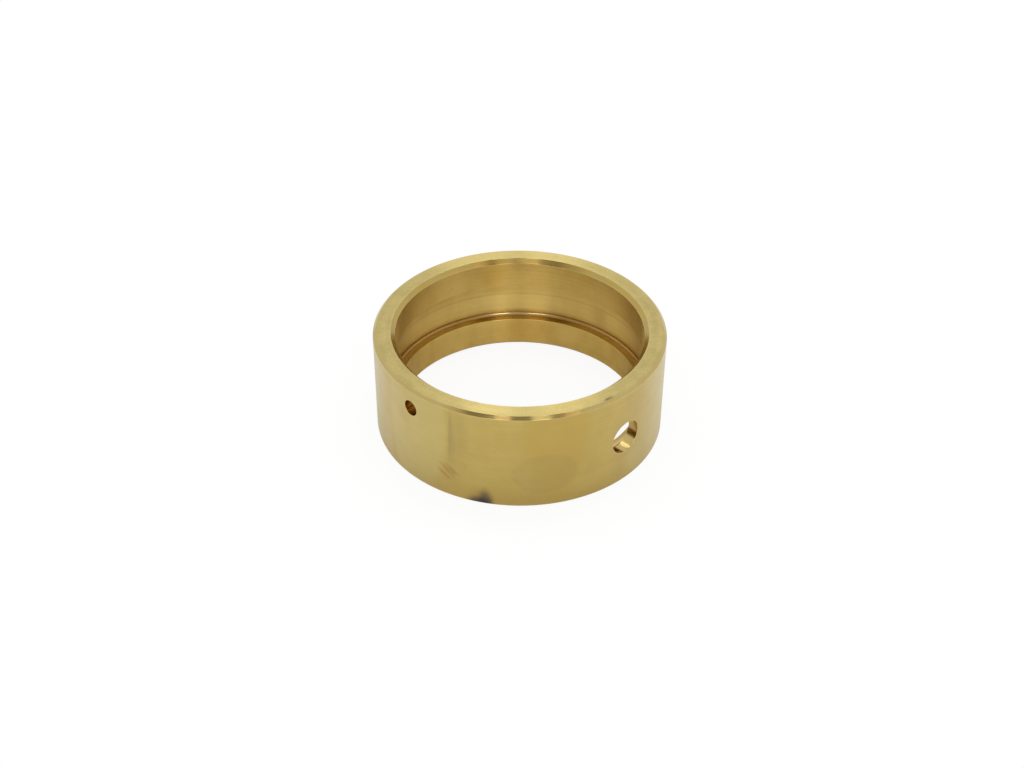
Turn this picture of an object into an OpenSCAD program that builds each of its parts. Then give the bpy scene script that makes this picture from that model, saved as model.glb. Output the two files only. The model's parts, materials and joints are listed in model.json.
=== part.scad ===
// Plain ring bushing, turned from one piece of brass and drilled from the side twice.
// Its axis is Z and its bottom face lies on z = 0.
// The feed hole points along +X. The pin hole is turned away from it by pin_angle.

/* [Bore] */
// Diameter of the two bore lands that carry the shaft
bore_d = 85; // [40:0.5:160]
// Chamfer at the top mouth of the bore
mouth_top_chamfer = 1.5; // [0.5:0.1:3]
// Chamfer at the bottom mouth of the bore
mouth_bottom_chamfer = 0.8; // [0.3:0.1:3]

/* [Body] */
// Thickness of the wall between the bore lands and the outside
wall_t = 7.5; // [6:0.25:15]
// Overall height
height = 37; // [34:0.5:80]
// Lead-in chamfer at the top outer edge
outer_top_chamfer = 1; // [0.3:0.1:2]
// Chamfer at the bottom outer edge
outer_bottom_chamfer = 0.5; // [0.2:0.1:2]

/* [Oil groove] */
// Depth of the groove, from the bore lands to its floor
groove_depth = 3.5; // [2:0.25:5]
// Width of the groove between its two walls
groove_w = 15; // [13:0.5:16]
// Height of the groove's lower wall above the bottom face
groove_z = 11; // [4:0.5:12]
// Radius of the groove's inside corners
groove_corner_r = 1.2; // [0.4:0.1:1.9]

/* [Feed hole] */
// Diameter of the radial hole that opens into the groove
feed_d = 12; // [3:0.5:14]
// Height of the feed hole's axis above the groove's lower wall
feed_rise = 7; // [6:0.25:8]

/* [Pin hole] */
// Diameter of the small radial hole through the upper land
pin_d = 5.5; // [2:0.25:6]
// Height of the pin hole's axis above the groove's upper wall
pin_rise = 3.25; // [3:0.25:6]
// Angle from the feed hole round to the pin hole, clockwise seen from above
pin_angle = 90; // [20:5:340]

/* [Hidden] */
$fn = 180;
// How far a cutter runs past the face it cuts
overrun = 1;
bore_r = bore_d / 2;
outer_r = bore_r + wall_t;
groove_r = bore_r + groove_depth;
groove_top = groove_z + groove_w;
feed_z = groove_z + feed_rise;
pin_z = groove_top + pin_rise;
brass = [0.72, 0.62, 0.36];

// Half section of the plain ring: straight walls with a chamfer at each of the four edges.
module ring_section() {
    polygon([
        [bore_r, mouth_bottom_chamfer],
        [bore_r + mouth_bottom_chamfer, 0],
        [outer_r - outer_bottom_chamfer, 0],
        [outer_r, outer_bottom_chamfer],
        [outer_r, height - outer_top_chamfer],
        [outer_r - outer_top_chamfer, height],
        [bore_r + mouth_top_chamfer, height],
        [bore_r, height - mouth_top_chamfer]
    ]);
}

// Half section that the groove takes away: its two inside corners are true arcs.
module groove_section() {
    corner_x = groove_r - groove_corner_r;
    from_x = bore_r - overrun;
    translate([from_x, groove_z])
        square([corner_x - from_x, groove_w]);
    translate([from_x, groove_z + groove_corner_r])
        square([groove_r - from_x, groove_w - 2 * groove_corner_r]);
    for (z = [groove_z + groove_corner_r, groove_top - groove_corner_r])
        translate([corner_x, z])
            circle(r = groove_corner_r);
}

// A drill that runs from the axis out through one side of the wall, along +X turned by angle.
module radial_drill(d, z, angle) {
    rotate([0, 0, angle])
        translate([0, 0, z])
            rotate([0, 90, 0])
                cylinder(d = d, h = outer_r + overrun);
}

module bushing() {
    color(brass)
        difference() {
            rotate_extrude()
                difference() {
                    ring_section();
                    groove_section();
                }
            radial_drill(feed_d, feed_z, 0);
            radial_drill(pin_d, pin_z, -pin_angle);
        }
}

bushing();
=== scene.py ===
import json
import math

import bpy
import numpy as np
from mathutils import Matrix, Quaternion, Vector


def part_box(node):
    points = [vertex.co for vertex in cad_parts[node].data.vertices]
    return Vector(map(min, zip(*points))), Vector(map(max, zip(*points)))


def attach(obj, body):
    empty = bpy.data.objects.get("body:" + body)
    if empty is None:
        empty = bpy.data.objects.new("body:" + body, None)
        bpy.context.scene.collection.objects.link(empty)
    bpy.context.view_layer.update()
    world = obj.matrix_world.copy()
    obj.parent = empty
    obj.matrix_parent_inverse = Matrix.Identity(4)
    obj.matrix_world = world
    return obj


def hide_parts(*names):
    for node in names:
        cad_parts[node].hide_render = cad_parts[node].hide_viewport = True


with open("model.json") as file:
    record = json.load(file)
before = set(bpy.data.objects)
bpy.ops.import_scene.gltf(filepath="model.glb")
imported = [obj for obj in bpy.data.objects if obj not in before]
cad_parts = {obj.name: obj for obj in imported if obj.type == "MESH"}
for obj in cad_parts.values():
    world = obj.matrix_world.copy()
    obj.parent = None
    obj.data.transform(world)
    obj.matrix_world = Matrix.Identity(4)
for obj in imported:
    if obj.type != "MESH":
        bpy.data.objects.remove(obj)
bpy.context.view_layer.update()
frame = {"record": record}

MM = 0.001


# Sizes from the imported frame
def mount(name):
    """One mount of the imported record."""
    return next(m for m in frame["record"]["mounts"] if m["name"] == name)


def mount_radius(name):
    return mount(name)["dims"]["r_mm"] * MM


def mount_angle(name):
    """Direction of a radial hole round the axis."""
    x, y, _ = mount(name)["axis"]
    return math.atan2(y, x)


ring_low, ring_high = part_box("bushing")
HEIGHT = ring_high[2] - ring_low[2]
OUTER_R = mount_radius("outer_wall")
BORE_R = mount_radius("bore")

# Sizes that the record doesn't hold, as in the part's source
OUTER_TOP_CHAMFER = 1.0 * MM
OUTER_FOOT_CHAMFER = 0.5 * MM
MOUTH_TOP_CHAMFER = 1.5 * MM
MOUTH_FOOT_CHAMFER = 0.8 * MM
GROOVE_DEPTH = 3.5 * MM
GROOVE_R = BORE_R + GROOVE_DEPTH
GROOVE_LOW = 11.0 * MM
GROOVE_HIGH = 26.0 * MM
GROOVE_CORNER_R = 1.2 * MM

# Broken edges, which the source leaves sharp
EDGE_ROUND = 0.2 * MM
LIP_ROUND = 0.25 * MM
HOLE_EDGE_ROUND = 0.16 * MM
EDGE_FADE = 0.5 * MM

# A small nick in the outer edge of the top face
NICK_ANGLE = math.radians(-9.7)
NICK_HALF = math.radians(1.55)
NICK_DEPTH = 0.17 * MM

# Fineness of the mesh
EDGE_STEPS = 4
CORNER_STEPS = 7
CORNER_LEVELS = 4
FEED_STEPS = 16
FEED_WINDOW_HALF = 7.0 * MM
PIN_STEPS = 12
PIN_WINDOW_HALF = 3.48 * MM
NICK_COLUMNS = 15
FAN_RINGS = 4
TUBE_STEPS = 6
COLUMN_STEP = math.radians(1.0)
SEAM_ANGLE = math.radians(-225)
LEVEL_SLACK = 1e-7
PLACE_SLACK = 1e-6


# The two radial holes, each with the square window round it that is meshed as a fan of rings
class Hole:
    def __init__(self, name, outer_half, steps):
        self.radius = mount_radius(name)
        self.height = mount(name)["pos_m"][2]
        self.angle = mount_angle(name)
        self.outer_half = outer_half
        self.side_turns = np.radians(np.linspace(-45, 45, steps + 1))
        self.level_turns = self.side_turns
        self.along = np.array([math.cos(self.angle), math.sin(self.angle), 0.0])
        self.across = np.array([-math.sin(self.angle), math.cos(self.angle), 0.0])

    def half(self, wall_r):
        """Half side of the window on a wall of this radius, so that its columns run straight through."""
        return self.outer_half * wall_r / OUTER_R

    def columns(self):
        return self.angle + np.arcsin(self.outer_half * np.tan(self.side_turns) / OUTER_R)

    def levels(self, wall_r):
        return self.height + self.half(wall_r) * np.tan(self.level_turns)


feed = Hole("feed_hole", FEED_WINDOW_HALF, FEED_STEPS)
pin = Hole("pin_hole", PIN_WINDOW_HALF, PIN_STEPS)

# The feed hole reaches just past the start of the groove's lower corner, so its window has levels there too
corner_start = GROOVE_LOW + GROOVE_CORNER_R
corner_turn = math.atan((corner_start - feed.height) / feed.half(GROOVE_R))
feed.level_turns = np.concatenate([
    np.linspace(math.radians(-45), corner_turn, CORNER_LEVELS),
    np.linspace(corner_turn, math.radians(45), FEED_STEPS + 1)[1:],
])


# Half section of the ring
class Row:
    """One turn of the lathe: a circle of the mesh."""

    def __init__(self, r, z, nr, nz, finish, edge):
        self.r, self.z, self.nr, self.nz = r, z, nr, nz
        self.finish, self.edge = finish, edge


def corner_arc(point, before, after, radius, shares):
    """Rounds a corner. Gives (r, z, nr, nz) for each share of the turn, and the length that it takes."""
    turn = math.atan2(before[0] * after[1] - before[1] * after[0], before @ after)
    reach = radius * math.tan(abs(turn) / 2)
    side = math.copysign(1, turn)
    start = point - before * reach
    centre = start + np.array([-before[1], before[0]]) * radius * side
    out = []
    for share in shares:
        a = turn * share
        d = np.array([before[0] * math.cos(a) - before[1] * math.sin(a),
                      before[0] * math.sin(a) + before[1] * math.cos(a)])
        normal = np.array([d[1], -d[0]])
        place = centre + normal * radius * side
        out.append((place[0], place[1], normal[0], normal[1]))
    return out, reach


def even(steps):
    return np.linspace(0, 1, steps + 1)


def turned_section():
    """Rows from the foot of the outer wall up, across the top face and down the bore."""
    window_low = feed.levels(GROOVE_R)[:CORNER_LEVELS]
    low_corner = np.arcsin(np.clip((corner_start - window_low) / GROOVE_CORNER_R, 0, 1)) / (math.pi / 2)
    low_corner = np.concatenate([low_corner[::-1], low_corner[0] + (1 - low_corner[0]) * even(6)[1:]])
    high_corner = even(CORNER_STEPS)
    plain = even(EDGE_STEPS)
    wall_levels = np.concatenate([
        [3.0 * MM, 7.0 * MM], feed.levels(OUTER_R), pin.levels(OUTER_R), [34.5 * MM],
    ])
    floor_levels = feed.levels(GROOVE_R)[CORNER_LEVELS:]
    land_levels = np.concatenate([pin.levels(BORE_R), [34.0 * MM]])
    # corner's radius and height, rounding, shares of the turn, finish of the rounding,
    # finish of the side that follows, heights of that side's own rows
    corners = [
        (OUTER_R, OUTER_FOOT_CHAMFER, EDGE_ROUND, plain, "outer_wall", "outer_wall", wall_levels),
        (OUTER_R, HEIGHT - OUTER_TOP_CHAMFER, EDGE_ROUND, plain, "lead_chamfer", "lead_chamfer", []),
        (OUTER_R - OUTER_TOP_CHAMFER, HEIGHT, EDGE_ROUND, plain, "end_face", "end_face", []),
        (BORE_R + MOUTH_TOP_CHAMFER, HEIGHT, EDGE_ROUND, plain, "end_face", "mouth_chamfer", []),
        (BORE_R, HEIGHT - MOUTH_TOP_CHAMFER, EDGE_ROUND, plain, "bore_land", "bore_land", land_levels),
        (BORE_R, GROOVE_HIGH, LIP_ROUND, plain, "bore_land", "groove_side", []),
        (GROOVE_R, GROOVE_HIGH, GROOVE_CORNER_R, high_corner, "groove_corner", "groove", floor_levels),
        (GROOVE_R, GROOVE_LOW, GROOVE_CORNER_R, low_corner, "groove_corner", "groove_side", []),
        (BORE_R, GROOVE_LOW, LIP_ROUND, plain, "bore_land", "bore_land", [4.0 * MM, 7.5 * MM]),
        (BORE_R, MOUTH_FOOT_CHAMFER, EDGE_ROUND, plain, "mouth_chamfer", "mouth_chamfer", []),
        (BORE_R + MOUTH_FOOT_CHAMFER, 0.0, EDGE_ROUND, plain, "end_face", "end_face", []),
        (OUTER_R - OUTER_FOOT_CHAMFER, 0.0, EDGE_ROUND, plain, "end_face", "lead_chamfer", []),
    ]
    points = [np.array(c[:2]) for c in corners]
    count = len(corners)
    ways = []
    for i in range(count):
        way = points[(i + 1) % count] - points[i]
        ways.append(way / np.linalg.norm(way))
    arcs = [corner_arc(points[i], ways[i - 1], ways[i], corners[i][2], corners[i][3]) for i in range(count)]
    rows = []
    for i in range(count):
        edge_finish, finish, levels = corners[i][4:]
        arc, reach = arcs[i]
        sharp = corners[i][2] < GROOVE_CORNER_R
        worn = {EDGE_ROUND: 1.0, LIP_ROUND: 0.2}.get(corners[i][2], 0.0)
        for n, (r, z, nr, nz) in enumerate(arc):
            rows.append(Row(r, z, nr, nz, edge_finish if n < len(arc) - 1 else finish, worn))
        start = points[i] + ways[i] * reach
        finish_end = points[(i + 1) % count] - ways[i] * arcs[(i + 1) % count][1]
        length = np.linalg.norm(finish_end - start)
        normal = (ways[i][1], -ways[i][0])
        places = [(z - start[1]) / ways[i][1] for z in levels] if len(levels) else []
        fade = min(EDGE_FADE, length * 0.35)
        given = list(places)
        sharp_end = corners[(i + 1) % count][2] < GROOVE_CORNER_R
        for place, wanted in ((fade, sharp), (length - fade, sharp_end)):
            if wanted and not (given and min(given) < place < max(given)):
                places.append(place)
        if not len(levels):
            places.append(length / 2)
        for place in sorted(places):
            if not PLACE_SLACK < place < length - PLACE_SLACK:
                continue
            p = start + ways[i] * place
            near = min(place if sharp else length, length - place)
            rows.append(Row(p[0], p[1], *normal, finish, 0.0 if near > 0.5 * fade else 0.5))
    return rows


rows = turned_section()


def ring_columns():
    """Angles of the mesh's columns, close together at the holes."""
    nick = NICK_ANGLE + NICK_HALF * np.linspace(-1, 1, NICK_COLUMNS)
    groups = sorted([feed.columns(), pin.columns(), nick], key=lambda g: g[0])
    stops = [SEAM_ANGLE]
    out = []
    for group in groups + [np.array([SEAM_ANGLE + 2 * math.pi])]:
        gap = group[0] - stops[-1]
        steps = math.ceil(gap / COLUMN_STEP)
        out += list(stops[-1] + gap * np.arange(steps) / steps)
        out += list(group[:-1])
        stops.append(group[-1])
    return np.array(out)


columns = ring_columns()


class Skin:
    """Collects the mesh: places, normals, faces, finishes, edge marks and the unrolled map."""

    def __init__(self):
        self.places, self.normals, self.edges = [], [], []
        self.faces, self.finishes, self.maps = [], [], []

    def point(self, place, normal, edge):
        self.places.append(tuple(place))
        self.normals.append(tuple(normal))
        self.edges.append(edge)
        return len(self.places) - 1

    def face(self, corners, finish, on_map):
        self.faces.append(corners)
        self.finishes.append(finish)
        self.maps.append(on_map)


def on_top_edge(row):
    """Whether a row lies in the rounding of the top face's outer edge."""
    near = abs(row.r - OUTER_R + OUTER_TOP_CHAMFER) < EDGE_ROUND
    return near and row.edge == 1.0 and row.z > HEIGHT - EDGE_ROUND


skin = Skin()
top_edge = [k for k, row in enumerate(rows) if on_top_edge(row)]
for k, row in enumerate(rows):
    for a in columns:
        share = 1 - ((a - NICK_ANGLE) / NICK_HALF) ** 2
        dent = NICK_DEPTH * max(share, 0.0) if k in top_edge else 0.0
        r, z = row.r - dent * row.nr, row.z - dent * row.nz
        skin.point((r * math.cos(a), r * math.sin(a), z),
                   (row.nr * math.cos(a), row.nr * math.sin(a), row.nz), row.edge)


def grid(k, j):
    return (k % len(rows)) * len(columns) + j % len(columns)


def lean_nick():
    """Turns the normals in and beside the nick to its dented surface."""
    for k in range(top_edge[0] - 1, top_edge[-1] + 2):
        for j, a in enumerate(columns):
            if abs(a - NICK_ANGLE) < NICK_HALF:
                along = np.subtract(skin.places[grid(k, j + 1)], skin.places[grid(k, j - 1)])
                up = np.subtract(skin.places[grid(k + 1, j)], skin.places[grid(k - 1, j)])
                normal = np.cross(along, up)
                skin.normals[grid(k, j)] = tuple(normal / np.linalg.norm(normal))


lean_nick()


# The unrolled map: one band for each group of turned sides, full width, with a strip for the drilled walls
MAP_EDGE = 0.006
MAP_GAP = 0.012
MAP_TURNED = 0.9
strip_lengths = []
for k, row in enumerate(rows):
    after = rows[(k + 1) % len(rows)]
    strip_lengths.append(math.hypot(after.r - row.r, after.z - row.z))
BAND_OF = {"outer_wall": 0, "bore_land": 1, "groove": 1, "groove_corner": 1, "groove_side": 1,
           "lead_chamfer": 2, "mouth_chamfer": 2, "end_face": 2}
strip_low = [0.0] * len(rows)
run = 0.0
for k, row in enumerate(rows):
    if k and BAND_OF[row.finish] != BAND_OF[rows[k - 1].finish]:
        run += MAP_GAP * sum(strip_lengths)
    strip_low[k] = run
    run += strip_lengths[k]
map_scale = MAP_TURNED / run


def map_u(a):
    return MAP_EDGE + (1 - 2 * MAP_EDGE) * (a - SEAM_ANGLE) / (2 * math.pi)


def map_v(k, share=0.0):
    return MAP_EDGE + map_scale * (strip_low[k] + share * strip_lengths[k])


def row_range(low, high, facing):
    """Rows of a window, from the first to the last, on the side that faces out (1) or in (-1)."""
    finishes = ("outer_wall",) if facing > 0 else ("groove", "groove_corner", "bore_land")
    found = []
    for k, row in enumerate(rows):
        upright = row.nr * facing > 0.3
        if low - LEVEL_SLACK <= row.z <= high + LEVEL_SLACK and upright and row.finish in finishes:
            found.append(k)
    return found[0], found[-1]


def column_range(hole):
    wanted = hole.columns()
    first = int(np.argmin(np.abs(columns - wanted[0])))
    return first, first + len(wanted) - 1


windows = []
for hole, inner_r in ((feed, GROOVE_R), (pin, BORE_R)):
    for wall_r, facing in ((OUTER_R, 1), (inner_r, -1)):
        levels = hole.levels(wall_r)
        windows.append((hole, facing, row_range(levels[0], levels[-1], facing), column_range(hole)))


def in_window(k, j):
    return any(r[0] <= k < r[1] and c[0] <= j < c[1] for _, _, r, c in windows)


for k, row in enumerate(rows):
    for j, a in enumerate(columns):
        if in_window(k, j):
            continue
        b = columns[j + 1] if j + 1 < len(columns) else SEAM_ANGLE + 2 * math.pi
        u0, u1 = map_u(a), map_u(b)
        v0, v1 = map_v(k), map_v(k, 1.0)
        skin.face((grid(k, j), grid(k, j + 1), grid(k + 1, j + 1), grid(k + 1, j)), row.finish,
                  ((u0, v0), (u1, v0), (u1, v1), (u0, v1)))


def wall_at(z, first, last):
    """Radius, section normal and map height of the wall between two rows, at a height."""
    part = rows[first:last + 1]
    heights = np.array([row.z for row in part])
    order = np.argsort(heights)
    heights = heights[order]
    values = [np.interp(z, heights, np.array([getattr(row, name) for row in part])[order])
              for name in ("r", "nr", "nz")]
    ups = np.array([map_v(k) for k in range(first, last + 1)])[order]
    if rows[first].nr < 0 and z < corner_start and rows[first].finish == "groove":
        sine = (corner_start - z) / GROOVE_CORNER_R
        cosine = math.sqrt(1 - sine ** 2)
        values = [GROOVE_R - GROOVE_CORNER_R * (1 - cosine), -cosine, sine]
    return values[0], values[1], values[2], np.interp(z, heights, ups)


def window_rim(first_row, last_row, first_column, last_column):
    """The window's own points, once round: along its lower edge, up, back along its upper edge and down."""
    low, high = (first_row, last_row) if rows[first_row].z < rows[last_row].z else (last_row, first_row)
    step = 1 if high > low else -1
    loop = [(low, j) for j in range(first_column, last_column)]
    loop += [(k, last_column) for k in range(low, high, step)]
    loop += [(high, j) for j in range(last_column, first_column, -1)]
    loop += [(k, first_column) for k in range(high, low, -step)]
    return loop


def on_wall(hole, s, rise, first, last):
    """A point of the wall at a sideways and a vertical distance from the hole's axis."""
    r, nr, nz, up = wall_at(hole.height + rise, first, last)
    deep = math.sqrt(r * r - s * s)
    place = hole.along * deep + hole.across * s + np.array([0, 0, hole.height + rise])
    flat = np.array([place[0], place[1], 0.0]) / r
    return place, flat * nr + np.array([0, 0, nz]), up


def finish_here(finish, corners):
    """The finish of a window's face: the corner's own where the window reaches down into the corner."""
    low = finish == "groove" and np.mean([skin.places[i][2] for i in corners]) < corner_start
    return "groove_corner" if low else finish


def join_rings(one, two, finish, maps_one, maps_two, turned):
    count = len(one)
    for i in range(count):
        n = (i + 1) % count
        corners = (one[i], one[n], two[n], two[i])
        on_map = (maps_one[i], maps_one[i + 1], maps_two[i + 1], maps_two[i])
        if turned:
            corners, on_map = corners[::-1], on_map[::-1]
        skin.face(corners, finish_here(finish, corners), on_map)


def drilled_window(hole, facing, row_span, column_span):
    """Meshes the wall round one end of a hole. Gives the rings of its rounded edge and their turns."""
    first, last = row_span
    loop = window_rim(first, last, *column_span)
    ring = [grid(k, j) for k, j in loop]
    local = []
    for k, j in loop:
        local.append((rows[k].r * math.sin(columns[j] - hole.angle), rows[k].z - hole.height))
    turns = [math.atan2(z, s) for s, z in local]
    wide = hole.radius + HOLE_EDGE_ROUND
    finish = "outer_wall" if facing > 0 else rows[first].finish
    maps = [(map_u(columns[j]), wall_at(rows[k].z, first, last)[3]) for k, j in loop]
    maps.append(maps[0])
    for m in range(1, FAN_RINGS + 1):
        share = m / FAN_RINGS
        new_ring, new_maps = [], []
        for (s, z), turn in zip(local, turns):
            s1 = s + (wide * math.cos(turn) - s) * share
            z1 = z + (wide * math.sin(turn) - z) * share
            place, normal, up = on_wall(hole, s1, z1, first, last)
            new_ring.append(skin.point(place, normal, 0.6 if m == FAN_RINGS else 0.0))
            around = hole.angle + math.atan2(place @ hole.across, place @ hole.along)
            new_maps.append((map_u(around), up))
        new_maps.append(new_maps[0])
        join_rings(ring, new_ring, finish, maps, new_maps, facing < 0)
        ring, maps = new_ring, new_maps
    rings = [ring]
    for step in range(1, EDGE_STEPS + 1):
        t = math.pi / 2 * step / EDGE_STEPS
        radius = hole.radius + HOLE_EDGE_ROUND * (1 - math.sin(t))
        new_ring = []
        for turn in turns:
            place, normal, _ = on_wall(hole, radius * math.cos(turn), radius * math.sin(turn), first, last)
            place = place - hole.along * facing * HOLE_EDGE_ROUND * (1 - math.cos(t))
            inward = -(hole.across * math.cos(turn) + np.array([0, 0, math.sin(turn)]))
            mixed = normal * math.cos(t) + inward * math.sin(t)
            mixed = mixed / np.linalg.norm(mixed)
            new_ring.append(skin.point(place, mixed, 1.0 if step < EDGE_STEPS else 0.5))
        rings.append(new_ring)
    return rings, turns


DRILL_STRIP_LOW = MAP_TURNED + 3 * MAP_EDGE
DRILL_STRIP_HIGH = 1 - MAP_EDGE
FEED_STRIP = (0.02, 0.6)
PIN_STRIP = (0.64, 0.96)


def drill_wall(hole, outer_window, inner_window, strip):
    """The wall of one hole with its two rounded edges."""
    outer_rings, turns = drilled_window(hole, *outer_window)
    inner_rings, _ = drilled_window(hole, *inner_window)
    start = np.array([skin.places[i] for i in outer_rings[-1]])
    end = np.array([skin.places[i] for i in inner_rings[-1]])
    rings = list(outer_rings)
    for step in range(1, TUBE_STEPS):
        share = step / TUBE_STEPS
        ring = []
        for i, turn in enumerate(turns):
            inward = -(hole.across * math.cos(turn) + np.array([0, 0, math.sin(turn)]))
            ring.append(skin.point(start[i] + (end[i] - start[i]) * share, inward, 0.0))
        rings.append(ring)
    rings += inner_rings[::-1]
    steps = len(rings) - 1
    us = strip[0] + (strip[1] - strip[0]) * np.arange(len(turns) + 1) / len(turns)
    for m in range(steps):
        v0 = DRILL_STRIP_LOW + (DRILL_STRIP_HIGH - DRILL_STRIP_LOW) * m / steps
        v1 = DRILL_STRIP_LOW + (DRILL_STRIP_HIGH - DRILL_STRIP_LOW) * (m + 1) / steps
        low_map = [(u, v0) for u in us]
        high_map = [(u, v1) for u in us]
        join_rings(rings[m], rings[m + 1], "drilled", low_map, high_map, False)


drill_wall(feed, windows[0][1:], windows[1][1:], FEED_STRIP)
drill_wall(pin, windows[2][1:], windows[3][1:], PIN_STRIP)

FINISHES = ["outer_wall", "end_face", "lead_chamfer", "mouth_chamfer", "bore_land",
            "groove", "groove_corner", "groove_side", "drilled"]


def ring_mesh():
    """The whole ring as one closed mesh."""
    used = sorted({i for face in skin.faces for i in face})
    renumber = {old: new for new, old in enumerate(used)}
    mesh = bpy.data.meshes.new("bushing_ring")
    mesh.from_pydata([skin.places[i] for i in used], [],
                     [[renumber[i] for i in face] for face in skin.faces])
    mesh.polygons.foreach_set("material_index", [FINISHES.index(f) for f in skin.finishes])
    mesh.polygons.foreach_set("use_smooth", [True] * len(skin.faces))
    edge = mesh.attributes.new("edge_wear", "FLOAT", "POINT")
    edge.data.foreach_set("value", [skin.edges[i] for i in used])
    unrolled = mesh.uv_layers.new(name="OFBake")
    unrolled.data.foreach_set("uv", [v for face in skin.maps for uv in face for v in uv])
    mesh.update()
    mesh.normals_split_custom_set_from_vertices([skin.normals[i] for i in used])
    return mesh


ring = bpy.data.objects.new("bushing_ring", ring_mesh())
bpy.context.scene.collection.objects.link(ring)
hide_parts("bushing")
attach(ring, "root")


# Node helpers
class Tree:
    """Short words for adding and joining nodes."""

    def __init__(self, tree):
        self.tree = tree

    def add(self, kind, **settings):
        node = self.tree.nodes.new(kind)
        for name, value in settings.items():
            setattr(node, name, value)
        return node

    def feed(self, socket, value):
        if isinstance(value, bpy.types.NodeSocket):
            self.tree.links.new(value, socket)
        else:
            socket.default_value = value

    def math(self, operation, a, b=0.0, c=0.0, clamp=False):
        node = self.add("ShaderNodeMath", operation=operation, use_clamp=clamp)
        for socket, value in zip(node.inputs, (a, b, c)):
            self.feed(socket, value)
        return node.outputs[0]

    def ramp(self, value, low, high, to_low=0.0, to_high=1.0):
        """Smooth step from one value to another."""
        node = self.add("ShaderNodeMapRange", interpolation_type="SMOOTHSTEP")
        given = {"Value": value, "From Min": low, "From Max": high, "To Min": to_low, "To Max": to_high}
        for name, number in given.items():
            self.feed(node.inputs[name], number)
        return node.outputs["Result"]

    def noise(self, place, scale, detail=2.0, roughness=0.5):
        node = self.add("ShaderNodeTexNoise", noise_dimensions="3D")
        self.feed(node.inputs["Vector"], place)
        self.feed(node.inputs["Scale"], scale)
        self.feed(node.inputs["Detail"], detail)
        self.feed(node.inputs["Roughness"], roughness)
        return node.outputs["Fac"]

    def vector(self, x, y, z):
        node = self.add("ShaderNodeCombineXYZ")
        for socket, value in zip(node.inputs, (x, y, z)):
            self.feed(socket, value)
        return node.outputs[0]

    def blend(self, share, one, two):
        node = self.add("ShaderNodeMix", data_type="RGBA")
        self.feed(node.inputs["Factor"], share)
        self.feed(node.inputs["A"], one)
        self.feed(node.inputs["B"], two)
        return node.outputs["Result"]

    def group(self, group, **values):
        node = self.add("ShaderNodeGroup")
        node.node_tree = group
        for name, value in values.items():
            self.feed(node.inputs[name.replace("_", " ")], value)
        return node.outputs


def new_group(name, inputs, outputs):
    """An empty node group with named sockets. Inputs are (name, kind, value)."""
    tree = bpy.data.node_groups.new(name, "ShaderNodeTree")
    for label, kind, value in inputs:
        socket = tree.interface.new_socket(label, in_out="INPUT", socket_type=f"NodeSocket{kind}")
        if value is not None:
            socket.default_value = value
    for label, kind in outputs:
        tree.interface.new_socket(label, in_out="OUTPUT", socket_type=f"NodeSocket{kind}")
    t = Tree(tree)
    return t, t.add("NodeGroupInput").outputs, t.add("NodeGroupOutput").inputs


def ring_place_group():
    """Where a point lies on the ring: angle in degrees, radius, height and place in millimetres."""
    t, _, out = new_group(
        "ring_place",
        [],
        [("Angle", "Float"), ("Radius", "Float"), ("Height", "Float"), ("Place", "Vector")])
    place = t.add("ShaderNodeTexCoord").outputs["Object"]
    scaled = t.add("ShaderNodeVectorMath", operation="SCALE")
    t.feed(scaled.inputs[0], place)
    t.feed(scaled.inputs["Scale"], 1 / MM)
    split = t.add("ShaderNodeSeparateXYZ")
    t.feed(split.inputs[0], scaled.outputs[0])
    x, y, z = split.outputs
    t.feed(out["Angle"], t.math("DEGREES", t.math("ARCTAN2", y, x)))
    t.feed(out["Radius"], t.math("SQRT", t.math("ADD", t.math("MULTIPLY", x, x), t.math("MULTIPLY", y, y))))
    t.feed(out["Height"], z)
    t.feed(out["Place"], scaled.outputs[0])
    return t.tree


RING_PLACE = ring_place_group()


def turning_lines_group():
    """Fine lines left by the turning tool: across is the way the tool moved, angle runs round the ring."""
    t, i, out = new_group(
        "turning_lines",
        [("Across", "Float", 0.0), ("Angle", "Float", 0.0), ("Pitch", "Float", 0.2)],
        [("Height", "Float"), ("Tone", "Float")])
    turn = t.math("RADIANS", i["Angle"])
    ca, sa = t.math("COSINE", turn), t.math("SINE", turn)
    fine = t.vector(t.math("MULTIPLY", ca, 0.6), t.math("MULTIPLY", sa, 0.6),
                    t.math("DIVIDE", i["Across"], i["Pitch"]))
    coarse = t.vector(t.math("MULTIPLY", ca, 0.35), t.math("MULTIPLY", sa, 0.35),
                      t.math("DIVIDE", i["Across"], t.math("MULTIPLY", i["Pitch"], 7.0)))
    t.feed(out["Height"], t.noise(fine, 1.0, 2.0, 0.6))
    t.feed(out["Tone"], t.noise(coarse, 1.0, 3.0, 0.6))
    return t.tree


TURNING_LINES = turning_lines_group()


def clouds_group():
    """Soft patches of tarnish and handling, larger and smaller."""
    t, i, out = new_group(
        "tarnish_clouds",
        [("Place", "Vector", None), ("Size", "Float", 20.0), ("Stretch", "Float", 1.0)],
        [("Large", "Float"), ("Small", "Float"), ("Speckle", "Float")])
    split = t.add("ShaderNodeSeparateXYZ")
    t.feed(split.inputs[0], i["Place"])
    x, y, z = split.outputs
    place = t.vector(x, y, t.math("MULTIPLY", z, i["Stretch"]))
    scale = t.math("DIVIDE", 1.0, i["Size"])
    t.feed(out["Large"], t.ramp(t.noise(place, scale, 2.0, 0.5), 0.3, 0.7))
    t.feed(out["Small"], t.ramp(t.noise(place, t.math("MULTIPLY", scale, 4.0), 3.0, 0.55), 0.3, 0.7))
    t.feed(out["Speckle"], t.noise(i["Place"], 2.2, 2.0, 0.6))
    return t.tree


TARNISH_CLOUDS = clouds_group()


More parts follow.
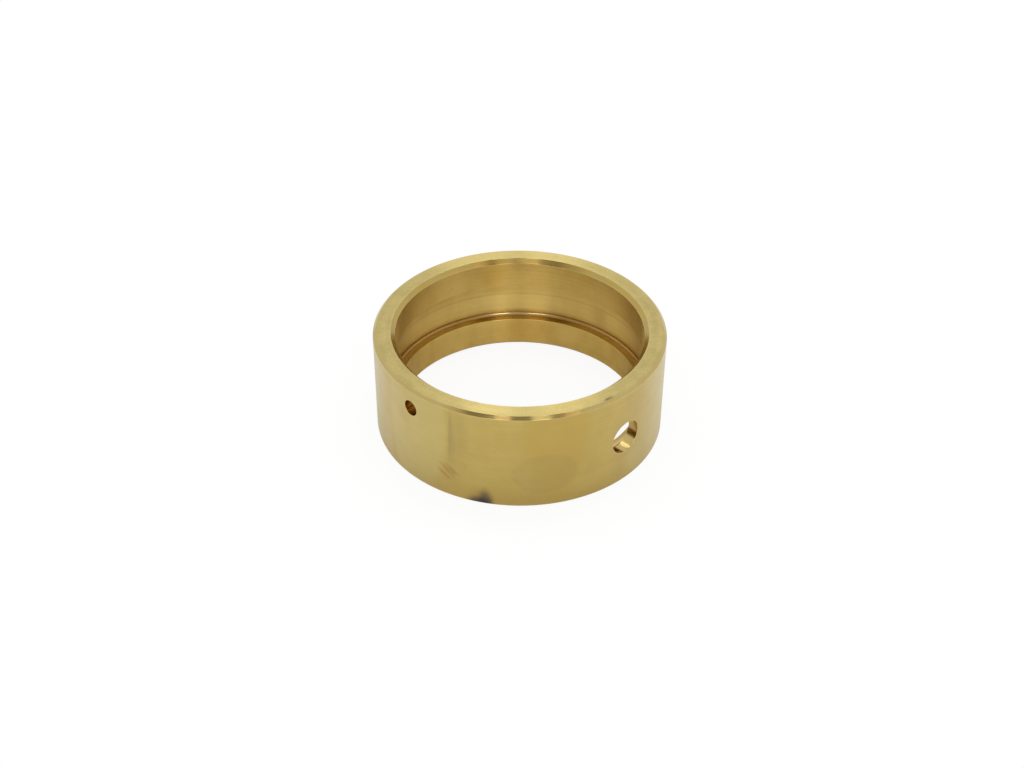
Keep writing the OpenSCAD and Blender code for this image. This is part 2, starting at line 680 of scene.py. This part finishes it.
def edge_wear_group():
    """Bright wear on the broken edges, stronger in some places than in others."""
    t, i, out = new_group("edge_wear", [("Place", "Vector", None)], [("Wear", "Float")])
    edge = t.add("ShaderNodeAttribute", attribute_name="edge_wear").outputs["Fac"]
    patchy = t.ramp(t.noise(i["Place"], 0.25, 3.0, 0.6), 0.3, 0.65, 0.35, 1.0)
    t.feed(out["Wear"], t.math("MULTIPLY", edge, patchy, clamp=True))
    return t.tree


EDGE_WEAR = edge_wear_group()


def fine_scratches_group():
    """Short fine scratches that lie in two ways: dark ones and bright ones."""
    t, i, out = new_group(
        "fine_scratches",
        [("Place", "Vector", None)],
        [("Dark", "Float"), ("Bright", "Float")])
    for label, turn in (("Dark", (0.3, 0.2, 0.9)), ("Bright", (0.5, -0.4, 2.3))):
        lie = t.add("ShaderNodeMapping", vector_type="TEXTURE")
        lie.inputs["Rotation"].default_value = turn
        lie.inputs["Scale"].default_value = (4.0, 0.35, 0.35)
        t.feed(lie.inputs["Vector"], i["Place"])
        t.feed(out[label], t.ramp(t.noise(lie.outputs[0], 1.0, 1.0, 0.5), 0.58, 0.72))
    return t.tree


FINE_SCRATCHES = fine_scratches_group()


def soft_mark_group():
    """An oval mark with a soft rim. Lean tips it over, Rough breaks its rim up."""
    t, i, out = new_group(
        "soft_mark",
        [("Angle", "Float", 0.0), ("Height", "Float", 0.0), ("Place", "Vector", None),
         ("At Angle", "Float", 0.0), ("At Height", "Float", 0.0),
         ("Half Angle", "Float", 5.0), ("Half Height", "Float", 5.0),
         ("Lean", "Float", 0.0), ("Softness", "Float", 0.5), ("Rough", "Float", 0.0)],
        [("Mask", "Float")])
    up = t.math("SUBTRACT", i["Height"], i["At Height"])
    turned = t.math("WRAP", t.math("SUBTRACT", i["Angle"], i["At Angle"]), 180.0, -180.0)
    side = t.math("SUBTRACT", turned, t.math("MULTIPLY", up, i["Lean"]))
    a = t.math("DIVIDE", side, i["Half Angle"])
    b = t.math("DIVIDE", up, i["Half Height"])
    away = t.math("SQRT", t.math("ADD", t.math("MULTIPLY", a, a), t.math("MULTIPLY", b, b)))
    broken = t.math("MULTIPLY", t.math("SUBTRACT", t.noise(i["Place"], 0.5, 3.0, 0.6), 0.5), i["Rough"])
    rim = t.math("SUBTRACT", 1.0, i["Softness"])
    t.feed(out["Mask"], t.ramp(t.math("ADD", away, broken), rim, 1.0, 1.0, 0.0))
    return t.tree


SOFT_MARK = soft_mark_group()


def colour(r, g, b):
    return (r, g, b, 1.0)


def times(shade, share):
    """A shade made darker or lighter."""
    return colour(*(min(c * share, 1.0) for c in shade[:3]))


WORN_BRIGHT = colour(0.7, 0.56, 0.25)
LINE_DEPTH = 0.02 * MM


class Finish:
    """A brass finish: a metal shader with turned lines, tarnish and worn edges.

    Across is the way that the tool moved, pitch the distance of its lines in millimetres.
    """

    def __init__(self, name, across, clean, dull, rough, pitch, bump, aniso, cloud_size=25.0, stretch=1.0,
                 mottle=1.0, coat=0.0, scratched=0.0):
        self.mat = bpy.data.materials.new(name)
        self.mat.use_nodes = True
        self.t = t = Tree(self.mat.node_tree)
        self.shader = self.mat.node_tree.nodes["Principled BSDF"]
        self.bump = bump
        spot = t.group(RING_PLACE)
        self.angle = spot["Angle"]
        self.radius = spot["Radius"]
        self.height = spot["Height"]
        self.place = spot["Place"]
        moved = self.height if across == "height" else self.radius
        self.lines = t.group(TURNING_LINES, Across=moved, Angle=self.angle, Pitch=pitch)
        clouds = t.group(TARNISH_CLOUDS, Place=self.place, Size=cloud_size, Stretch=stretch)
        wear = t.group(EDGE_WEAR, Place=self.place)["Wear"]
        dulled = t.math("MULTIPLY_ADD", clouds["Small"], 0.35, t.math("MULTIPLY", clouds["Large"], 0.65))
        self.tone = t.blend(dulled, clean, dull)
        self.tint(times(dull, 0.75), t.ramp(self.lines["Tone"], 0.35, 0.65, 0.0, 0.08 * mottle))
        self.tint(times(dull, 0.6), t.ramp(clouds["Speckle"], 0.6, 0.75, 0.0, 0.12 * mottle))
        if scratched:
            scratches = t.group(FINE_SCRATCHES, Place=self.place)
            self.tint(times(dull, 0.55), t.math("MULTIPLY", scratches["Dark"], scratched))
            self.tint(times(clean, 1.35), t.math("MULTIPLY", scratches["Bright"], scratched))
        self.tint(WORN_BRIGHT, t.math("MULTIPLY", wear, 0.2))
        uneven = t.math("MULTIPLY", t.math("SUBTRACT", self.lines["Tone"], 0.5), 0.12 * mottle)
        roughness = t.math("ADD", rough, uneven)
        roughness = t.math("ADD", roughness, t.math("MULTIPLY", clouds["Small"], 0.05 * mottle))
        self.roughness = t.math("SUBTRACT", roughness, t.math("MULTIPLY", wear, 0.08))
        self.shader.inputs["Metallic"].default_value = 1.0
        self.shader.inputs["Anisotropic"].default_value = aniso
        self.shader.inputs["Anisotropic Rotation"].default_value = 0.25
        self.shader.inputs["Coat Weight"].default_value = coat
        self.shader.inputs["Coat Roughness"].default_value = 0.3
        if aniso:
            tangent = t.add("ShaderNodeTangent", direction_type="RADIAL", axis="Z")
            t.feed(self.shader.inputs["Tangent"], tangent.outputs[0])

    def tint(self, shade, share):
        """Lays a shade over the tone."""
        self.tone = self.t.blend(share, self.tone, shade)

    def mark(self, shade, strength, at, half, soft, lean=0.0, ragged=0.0, rougher=0.0, level=None):
        """Marks one place; used for stains and for painted shade and reflection. At is its middle and half
        its half size, in degrees round and millimetres up.

        Another level, such as the radius, may stand in for the height.
        """
        t = self.t
        level = self.height if level is None else level
        mask = t.group(SOFT_MARK, Angle=self.angle, Height=level, Place=self.place,
                       At_Angle=at[0], At_Height=at[1], Half_Angle=half[0], Half_Height=half[1],
                       Lean=lean, Softness=soft, Rough=ragged)["Mask"]
        self.tint(shade, t.math("MULTIPLY", mask, strength))
        if rougher:
            self.roughness = t.math("MULTIPLY_ADD", mask, rougher, self.roughness)

    def done(self):
        t = self.t
        bump = t.add("ShaderNodeBump")
        t.feed(bump.inputs["Strength"], self.bump)
        t.feed(bump.inputs["Distance"], LINE_DEPTH)
        t.feed(bump.inputs["Height"], self.lines["Height"])
        t.feed(self.shader.inputs["Base Color"], self.tone)
        t.feed(self.shader.inputs["Roughness"], self.roughness)
        t.feed(self.shader.inputs["Normal"], bump.outputs[0])
        return self.mat


# Shades of tarnish, wear and grime; some of them also paint shade and reflection on the brass
STAIN = colour(0.055, 0.042, 0.042)
GRIME_AND_SHADE = colour(0.26, 0.2, 0.085)
BROWN_TARNISH_AND_SHADE = colour(0.36, 0.235, 0.06)
YELLOWED = colour(0.45, 0.31, 0.065)
PALE = colour(0.54, 0.462, 0.188)
GREEN_REFLECTION_TINT = colour(0.4, 0.355, 0.13)
ORANGED = colour(0.5, 0.3, 0.06)
SCRATCHED = colour(0.34, 0.205, 0.055)
CORNER_BROWN = colour(0.41, 0.25, 0.077)
UMBER = colour(0.3, 0.175, 0.045)
RUBBED = colour(0.77, 0.565, 0.19)


def outer_wall_finish():
    f = Finish("outer_wall_brass", "height", colour(0.502, 0.372, 0.104), colour(0.456, 0.333, 0.089),
               rough=0.34, pitch=0.18, bump=0.2, aniso=0.4, coat=0.36, scratched=0.08)
    # darker toward the foot: painted shade of the floor's contact shadow as the wall mirrors it
    f.tint(BROWN_TARNISH_AND_SHADE, f.t.ramp(f.height, 1.0, 10.0, 0.16, 0.0))
    # paler on one side of the streak: a painted reflection of a pale surface
    f.mark(PALE, 0.36, at=(-88.0, 26.0), half=(16.4, 34.0), soft=0.2, lean=0.05)
    # greener at the left edge and darker at the right edge: painted tint and shade of what the wall mirrors
    # there
    f.mark(GREEN_REFLECTION_TINT, 0.4, at=(-119.0, 18.0), half=(15.0, 60.0), soft=0.8)
    f.mark(GRIME_AND_SHADE, 0.18, at=(36.0, 31.0), half=(14.0, 26.0), soft=0.8)
    # paler round the far side: a painted sheen of the grazing reflection; yellower between
    f.mark(PALE, 0.35, at=(26.0, 16.0), half=(24.0, 60.0), soft=0.8)
    f.mark(YELLOWED, 0.6, at=(-30.5, 30.0), half=(15.0, 32.0), soft=0.35, ragged=0.15)
    # paler low down and browner high up on the right
    f.mark(PALE, 0.3, at=(5.0, 7.0), half=(8.0, 10.0), soft=0.9)
    f.mark(BROWN_TARNISH_AND_SHADE, 0.14, at=(3.0, 31.0), half=(8.0, 9.0), soft=0.9)
    # oil stain at the foot: a band along the edge that thickens into a rising fin, and a faint halo
    f.mark(BROWN_TARNISH_AND_SHADE, 0.4, at=(-58.8, 2.0), half=(7.2, 7.5), soft=0.95)
    f.mark(STAIN, 0.8, at=(-60.0, -0.8), half=(6.8, 4.8), soft=0.65, ragged=0.2, rougher=0.1)
    f.mark(STAIN, 0.72, at=(-57.9, -0.8), half=(5.3, 7.6), soft=0.75, ragged=0.2, rougher=0.1)
    f.mark(STAIN, 0.5, at=(-57.3, 2.0), half=(3.4, 6.6), soft=0.9, lean=-0.12, ragged=0.2, rougher=0.1)
    # rubbed streak down the wall: its one rim is crisp, the other fades out
    f.mark(GRIME_AND_SHADE, 0.26, at=(-71.5, 25.0), half=(1.05, 16.0), soft=0.6, lean=0.04)
    f.mark(GRIME_AND_SHADE, 0.26, at=(-70.7, 23.0), half=(2.1, 15.0), soft=0.85)
    f.mark(GRIME_AND_SHADE, 0.18, at=(-67.5, 27.0), half=(5.5, 18.0), soft=0.9, lean=0.1)
    # a brown smudge of short scratches below it
    f.mark(BROWN_TARNISH_AND_SHADE, 0.22, at=(-73.0, 9.6), half=(5.0, 4.6), soft=1.0)
    for at_angle, at_height, strength, lean in ((-74.3, 8.8, 0.8, -1.6), (-73.0, 11.4, 0.75, -1.8),
                                                (-70.6, 11.4, 0.75, -1.35), (-71.8, 9.6, 0.5, -1.5)):
        f.mark(SCRATCHED, strength, at=(at_angle, at_height), half=(1.5, 2.6), soft=0.95, lean=lean)
    for at_angle, at_height in ((-72.9, 13.2), (-72.4, 7.6), (-70.4, 10.2), (-65.2, 14.4)):
        f.mark(BROWN_TARNISH_AND_SHADE, 0.3, at=(at_angle, at_height), half=(1.5, 1.5), soft=1.0)
    # dull patches
    f.mark(GRIME_AND_SHADE, 0.17, at=(-35.0, 13.4), half=(13.6, 8.8), soft=0.16, ragged=0.3)
    f.mark(BROWN_TARNISH_AND_SHADE, 0.1, at=(-31.0, 17.0), half=(17.0, 13.0), soft=0.9)
    f.mark(BROWN_TARNISH_AND_SHADE, 0.2, at=(-94.5, 24.5), half=(5.0, 4.5), soft=0.9)
    f.mark(BROWN_TARNISH_AND_SHADE, 0.2, at=(-104.0, 27.5), half=(5.5, 4.5), soft=0.9)
    return f.done()


def nick_grime(f, level, at_level, half_level):
    """Dark grime held in the nick of the top edge."""
    f.mark(GRIME_AND_SHADE, 0.62, at=(math.degrees(NICK_ANGLE) + 0.7, at_level), half=(2.6, half_level),
           soft=0.7, rougher=0.2, level=level)


def end_face_finish():
    f = Finish("end_face_brass", "radius", colour(0.605, 0.488, 0.19), colour(0.548, 0.438, 0.164),
               rough=0.36, pitch=0.12, bump=0.25, aniso=0.95, mottle=1.6, scratched=0.3)
    # handled darker along its outer edge
    outer_edge = (OUTER_R - OUTER_TOP_CHAMFER) / MM
    f.tint(GRIME_AND_SHADE, f.t.ramp(f.radius, outer_edge - 0.45, outer_edge - 0.05, 0.0, 0.3))
    # only the top face has the nick
    foot_away = f.t.ramp(f.height, 0.0, 0.5 * HEIGHT / MM, -OUTER_R / MM, 0.0)
    top_radius = f.t.math("ADD", f.radius, foot_away)
    nick_grime(f, top_radius, outer_edge - 0.4, 0.8)
    return f.done()


def lead_chamfer_finish():
    f = Finish("lead_chamfer_brass", "radius", colour(0.505, 0.392, 0.148), colour(0.465, 0.358, 0.133),
               rough=0.13, pitch=0.1, bump=0.08, aniso=0.7)
    nick_grime(f, f.height, HEIGHT / MM, 0.45)
    return f.done()


def mouth_chamfer_finish():
    f = Finish("mouth_chamfer_brass", "radius", colour(0.46, 0.335, 0.1), colour(0.415, 0.3, 0.088),
               rough=0.18, pitch=0.1, bump=0.03, aniso=0.5, mottle=0.5)
    f.mark(BROWN_TARNISH_AND_SHADE, 0.9, at=(145.5, 36.0), half=(8.0, 9.0), soft=0.8)
    f.mark(RUBBED, 0.3, at=(134.5, 36.0), half=(4.0, 9.0), soft=0.9)
    return f.done()


def painted_side_shade(f):
    """Painted shade: a deeper brown on two sides of the bore."""
    for at_angle in (63.0, -153.0):
        f.mark(BROWN_TARNISH_AND_SHADE, 0.4, at=(at_angle, 18.0), half=(22.0, 90.0), soft=0.9)


def bore_land_finish():
    f = Finish("bore_land_brass", "height", colour(0.66, 0.475, 0.143), colour(0.605, 0.424, 0.119),
               rough=0.38, pitch=0.15, bump=0.05, aniso=0.95, cloud_size=16.0, stretch=0.45, mottle=1.7,
               scratched=0.08)
    # browner toward the mouth: painted shade of the darker floor that the upper land mirrors
    f.tint(BROWN_TARNISH_AND_SHADE, f.t.ramp(f.height, 27.0, 36.0, 0.0, 0.3))
    # painted shade on two sides of the bore
    painted_side_shade(f)
    # uneven tarnish, on the upper land and on the lower one
    f.mark(RUBBED, 0.45, at=(172.0, 18.0), half=(15.0, 90.0), soft=0.8, ragged=0.3)
    f.mark(ORANGED, 0.5, at=(148.0, 31.0), half=(11.0, 8.0), soft=0.8, ragged=0.4)
    f.mark(ORANGED, 0.25, at=(101.0, 33.0), half=(8.0, 5.0), soft=0.9, ragged=0.4)
    f.mark(BROWN_TARNISH_AND_SHADE, 0.16, at=(76.0, 30.0), half=(18.0, 9.0), soft=0.9)
    f.mark(ORANGED, 0.38, at=(132.0, 7.0), half=(17.0, 8.0), soft=0.7, ragged=0.4)
    f.mark(RUBBED, 0.45, at=(110.0, 7.0), half=(8.0, 8.0), soft=0.8)
    f.mark(ORANGED, 0.32, at=(136.5, 34.3), half=(5.0, 2.4), soft=0.9)
    for at_angle, at_height, strength in ((170.5, 29.4, 0.5), (138.6, 34.2, 0.35), (131.5, 32.6, 0.25)):
        f.mark(STAIN, strength, at=(at_angle, at_height), half=(0.34, 0.25), soft=0.5)
    return f.done()


def groove_finish():
    f = Finish("groove_brass", "height", colour(0.755, 0.572, 0.196), colour(0.695, 0.515, 0.168),
               rough=0.38, pitch=0.2, bump=0.05, aniso=0.95, cloud_size=16.0, stretch=0.45, mottle=1.0,
               scratched=0.08)
    # a little more orange above the lower of two thin lines, and along both lines
    f.tint(ORANGED, f.t.ramp(f.height, 19.8, 20.4, 0.0, 0.16))
    for height, strength in ((20.2, 0.26), (22.5, 0.17)):
        away = f.t.math("ABSOLUTE", f.t.math("SUBTRACT", f.height, height))
        f.tint(ORANGED, f.t.ramp(away, 0.1, 0.6, strength, 0.0))
    # painted shade on two sides of the bore
    painted_side_shade(f)
    f.mark(ORANGED, 0.35, at=(146.0, 22.5), half=(9.0, 2.6), soft=0.7)
    # painted shade, darker into the concave corner, most where the turned lines shine
    f.tint(BROWN_TARNISH_AND_SHADE, f.t.ramp(f.height, 12.4, 14.3, 0.2, 0.0))
    f.tint(CORNER_BROWN, f.t.ramp(f.height, 12.15, 12.75, 0.55, 0.0))
    f.mark(BROWN_TARNISH_AND_SHADE, 0.6, at=(135.0, 11.9), half=(28.0, 2.1), soft=0.85)
    f.mark(BROWN_TARNISH_AND_SHADE, 0.3, at=(96.5, 17.0), half=(7.5, 6.5), soft=0.9, ragged=0.3)
    return f.done()


def painted_ledge_shade(f, strength):
    """Painted shade in two places on the groove's lower side."""
    for at_angle, half_angle in ((151.7, 10.2), (116.5, 12.0)):
        f.mark(UMBER, strength, at=(at_angle, 10.6), half=(half_angle, 0.9), soft=0.7)


def groove_corner_finish():
    # the concave corner's brass is a darker, browner copy of the groove's: painted shade
    f = Finish("groove_corner_brass", "height", CORNER_BROWN, colour(0.385, 0.23, 0.069), rough=0.26,
               pitch=0.2, bump=0.03, aniso=0.3, mottle=0.5)
    # brighter and smoother on one side, a paler tint that paints the lamps' highlight there; painted shade
    # deepens the brown on both sides of that
    for at_angle in (162.0, 108.0):
        f.mark(UMBER, 0.8, at=(at_angle, 18.0), half=(13.0, 90.0), soft=0.7)
    f.mark(colour(0.385, 0.297, 0.141), 1.0, at=(135.0, 11.2), half=(21.0, 0.8), soft=0.4, rougher=-0.12)
    # paler where it runs out into the lower side
    run_out = f.t.ramp(f.height, GROOVE_LOW / MM + 0.1, GROOVE_LOW / MM + 0.28, 0.85, 0.0)
    f.tint(colour(0.57, 0.4, 0.19), run_out)
    # painted shade in two places on the lower side
    painted_ledge_shade(f, 0.6)
    return f.done()


def groove_side_finish():
    f = Finish("groove_side_brass", "radius", colour(0.52, 0.378, 0.14), colour(0.475, 0.34, 0.122),
               rough=0.24, pitch=0.2, bump=0.05, aniso=0.5, mottle=0.5)
    # paler toward the corner
    f.tint(colour(0.65, 0.465, 0.18), f.t.ramp(f.radius, 43.3, 44.4, 0.0, 1.0))
    # painted shade in two places on the lower side
    painted_ledge_shade(f, 1.0)
    return f.done()


def drilled_finish():
    f = Finish("drilled_brass", "radius", colour(0.58, 0.445, 0.178), colour(0.52, 0.388, 0.148),
               rough=0.2, pitch=0.25, bump=0.06, aniso=0.0, mottle=0.5)
    # the pin hole is darker and browner inside: painted shade in the narrow hole
    f.mark(colour(0.44, 0.25, 0.06), 0.65, at=(-90.0, 29.25), half=(9.0, 9.0), soft=0.3)
    return f.done()


MAKERS = {
    "outer_wall": outer_wall_finish,
    "end_face": end_face_finish,
    "lead_chamfer": lead_chamfer_finish,
    "mouth_chamfer": mouth_chamfer_finish,
    "bore_land": bore_land_finish,
    "groove": groove_finish,
    "groove_corner": groove_corner_finish,
    "groove_side": groove_side_finish,
    "drilled": drilled_finish,
}
for name in FINISHES:
    ring.data.materials.append(MAKERS[name]())


# Camera, placed where the photograph was taken from
VIEW_TURN = math.radians(45)
VIEW_RISE = math.radians(36.522)
VIEW_ROLL = math.radians(0.5403)
VIEW_AWAY = 0.536
AIM_HEIGHT = 0.018565
FOCAL_PIXELS = 1542.65
AIM_PIXEL = (519.508, 370.77)
PICTURE = (1024, 768)


def seen(right, ahead, up):
    """A place given as the photographer sees it, from the foot of the ring's axis."""
    c, s = math.cos(VIEW_TURN), math.sin(VIEW_TURN)
    return Vector((right * c - ahead * s, right * s + ahead * c, up))


camera_data = bpy.data.cameras.new("camera")
camera_data.sensor_width = 36.0
camera_data.lens = FOCAL_PIXELS / PICTURE[0] * camera_data.sensor_width
camera_data.clip_start = 0.01
camera_data.shift_x = -(AIM_PIXEL[0] - PICTURE[0] / 2) / PICTURE[0]
camera_data.shift_y = (AIM_PIXEL[1] - PICTURE[1] / 2) / PICTURE[0]
camera = bpy.data.objects.new("camera", camera_data)
bpy.context.scene.collection.objects.link(camera)
back = seen(0, -math.cos(VIEW_RISE), math.sin(VIEW_RISE))
camera.location = back * VIEW_AWAY + Vector((0, 0, AIM_HEIGHT))
camera.rotation_mode = "QUATERNION"
camera.rotation_quaternion = (-back).to_track_quat("-Z", "Y") @ Quaternion((0, 0, 1), VIEW_ROLL)
bpy.context.scene.camera = camera


# Floor, world and lamps
FLOOR_HALF = 4.0
FLOOR_DROP = 0.02 * MM
FLOOR_WHITE_SEEN = 0.9
FLOOR_WHITE_IN_METAL = 0.17


def seen_ray(t, straight, mirrored):
    """One share for what the camera sees straight, another for what it sees in the metal."""
    path = t.add("ShaderNodeLightPath").outputs
    clear = t.math("MAXIMUM", path["Is Camera Ray"], path["Is Transmission Ray"])
    in_metal = t.math("MULTIPLY", path["Is Glossy Ray"], mirrored)
    return t.math("MAXIMUM", t.math("MULTIPLY", clear, straight), in_metal)


def floor_material():
    mat = bpy.data.materials.new("pale_floor")
    mat.use_nodes = True
    t = Tree(mat.node_tree)
    shader = mat.node_tree.nodes["Principled BSDF"]
    shader.inputs["Base Color"].default_value = colour(0.94, 0.94, 0.94)
    shader.inputs["Roughness"].default_value = 0.9
    shader.inputs["Specular IOR Level"].default_value = 0.0
    white = t.add("ShaderNodeEmission")
    white.inputs["Color"].default_value = colour(1, 1, 1)
    mix = t.add("ShaderNodeMixShader")
    t.feed(mix.inputs[0], seen_ray(t, FLOOR_WHITE_SEEN, FLOOR_WHITE_IN_METAL))
    t.feed(mix.inputs[1], shader.outputs[0])
    t.feed(mix.inputs[2], white.outputs[0])
    out = mat.node_tree.nodes["Material Output"]
    t.feed(out.inputs["Surface"], mix.outputs[0])
    return mat


floor_mesh = bpy.data.meshes.new("floor")
floor_mesh.from_pydata([(-FLOOR_HALF, -FLOOR_HALF, 0), (FLOOR_HALF, -FLOOR_HALF, 0),
                        (FLOOR_HALF, FLOOR_HALF, 0), (-FLOOR_HALF, FLOOR_HALF, 0)], [], [(0, 1, 2, 3)])
floor_mesh.materials.append(floor_material())
floor = bpy.data.objects.new("floor", floor_mesh)
floor.location.z = -FLOOR_DROP
bpy.context.scene.collection.objects.link(floor)

WORLD_LEVEL = 0.85
world = bpy.data.worlds.new("studio")
bpy.context.scene.world = world
world.use_nodes = True
background = world.node_tree.nodes["Background"]
background.inputs["Color"].default_value = colour(1, 1, 1)
wt = Tree(world.node_tree)
wt.feed(background.inputs["Strength"], wt.ramp(seen_ray(wt, 1.0, 1.0), 0.0, 1.0, WORLD_LEVEL, 1.0))


MIDDLE = Vector((0, 0, HEIGHT / 2))
LAMP_AWAY = 1.4
CARD_AWAY = 1.7
WHITE = (1.0, 1.0, 1.0)


def toward(bearing, rise, away):
    """A place seen from the ring's middle: degrees right of the camera's side, degrees up, metres away."""
    a, e = math.radians(bearing), math.radians(rise)
    return MIDDLE + seen(math.sin(a) * math.cos(e), -math.cos(a) * math.cos(e), math.sin(e)) * away


def facing(place):
    return (MIDDLE - place).to_track_quat("-Z", "Y").to_euler()


def lamp(name, bearing, rise, size, level, tint=WHITE):
    """A soft lamp of this size whose face shines at this level."""
    data = bpy.data.lights.new(name, "AREA")
    data.shape = "RECTANGLE"
    data.size, data.size_y = size
    data.energy = level * math.pi * size[0] * size[1]
    data.color = tint
    ob = bpy.data.objects.new(name, data)
    ob.location = toward(bearing, rise, LAMP_AWAY)
    ob.rotation_euler = facing(ob.location)
    bpy.context.scene.collection.objects.link(ob)


def dull_card(name, shades, low, high):
    """A curved card that only the metal sees, as a photographer hangs to give polished metal its contrast.

    Shades are (bearing, colour) from left to right, low and high are the rises of its two long edges.
    """
    places, faces = [], []
    for i, (bearing, _) in enumerate(shades):
        places += [toward(bearing, low, CARD_AWAY), toward(bearing, high, CARD_AWAY)]
        if i:
            faces.append((2 * i - 2, 2 * i - 1, 2 * i + 1, 2 * i))
    mesh = bpy.data.meshes.new(name)
    mesh.from_pydata(places, [], faces)
    tint = mesh.attributes.new("shade", "FLOAT_COLOR", "POINT")
    tint.data.foreach_set("color", [v for _, card in shades for _ in range(2) for v in colour(*card)])
    mat = bpy.data.materials.new(name)
    mat.use_nodes = True
    mat.cycles.emission_sampling = "NONE"
    t = Tree(mat.node_tree)
    glow = t.add("ShaderNodeEmission")
    shade = t.add("ShaderNodeAttribute", attribute_name="shade")
    t.feed(glow.inputs["Color"], shade.outputs["Color"])
    t.feed(mat.node_tree.nodes["Material Output"].inputs["Surface"], glow.outputs[0])
    mesh.materials.append(mat)
    ob = bpy.data.objects.new(name, mesh)
    ob.visible_camera = ob.visible_diffuse = ob.visible_shadow = False
    bpy.context.scene.collection.objects.link(ob)


BROWN_CARD = (0.32, 0.27, 0.2)
GREY_CARD = (0.41, 0.365, 0.32)
HALF_WHITE = (0.72, 0.68, 0.57)
CARD_SHADES = [
    (-74, WHITE), (-62, HALF_WHITE), (-54, HALF_WHITE), (-44, BROWN_CARD), (-34, BROWN_CARD),
    (-24, GREY_CARD), (-14, GREY_CARD), (-4, GREY_CARD), (8, GREY_CARD), (19, HALF_WHITE),
    (30, GREY_CARD), (37, GREY_CARD), (47, HALF_WHITE), (60, WHITE),
]
dull_card("dull_card", CARD_SHADES, 43, 60)

WARM = (1.0, 0.86, 0.78)
PINK = (1.0, 0.7, 0.46)
COOL = (0.95, 0.97, 1.0)
CREAM = (1.0, 0.95, 0.95)
lamp("warm_strip_left", -14, 52.5, (0.209, 0.4), 1.08, WARM)
lamp("cool_strip", 19.75, 52.5, (0.262, 0.4), 0.74, COOL)
lamp("warm_strip_right", 44.75, 49.5, (0.215, 0.4), 0.54, PINK)
lamp("warm_lamp_low", -16, 30, (0.34, 0.45), 2.9, CREAM)
lamp("cool_lamp_low", 17, 30, (0.27, 0.45), 4.8, COOL)
lamp("top_lamp_left", -161, 72, (0.1, 0.5), 9.5)
lamp("top_lamp_right", 138, 72, (0.1, 0.5), 14.0)
lamp("side_lamp_left", -135, 62, (0.3, 0.5), 1.6)

bpy.context.scene.view_settings.view_transform = "Standard"
